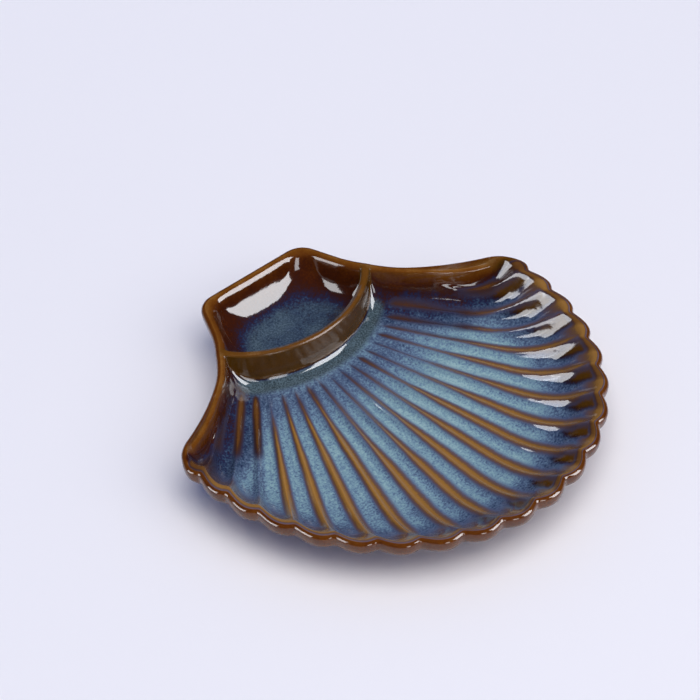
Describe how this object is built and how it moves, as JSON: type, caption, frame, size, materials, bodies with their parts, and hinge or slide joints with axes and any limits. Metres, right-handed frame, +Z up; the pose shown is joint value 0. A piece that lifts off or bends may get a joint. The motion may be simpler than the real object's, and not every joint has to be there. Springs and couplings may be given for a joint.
{
  "type": "serving platter",
  "caption": "Glazed stoneware serving platter shaped like a scallop shell, with a fluted fan-shaped well, a scalloped rolled rim and a dip compartment behind a curved divider.",
  "frame": {"origin": "middle of the footprint, at the height of the table", "axes": "+X towards the right wing, +Y towards the hinge edge, +Z up"},
  "size_m": [0.227, 0.2226, 0.0294],
  "materials": {
    "shell_glaze": "glossy reactive glaze, blue-grey where it pools in the flutes and amber brown where it thins on the ribs and the rim",
    "divider_glaze": "the same glossy glaze run thin, red brown to amber along the top",
    "bare_clay": "unglazed buff stoneware, wiped clean of glaze"
  },
  "bodies": {
    "root": {"dish_body": "shell_glaze", "divider_wall": "divider_glaze", "foot_ring": "bare_clay"}
  },
  "joints": []
}
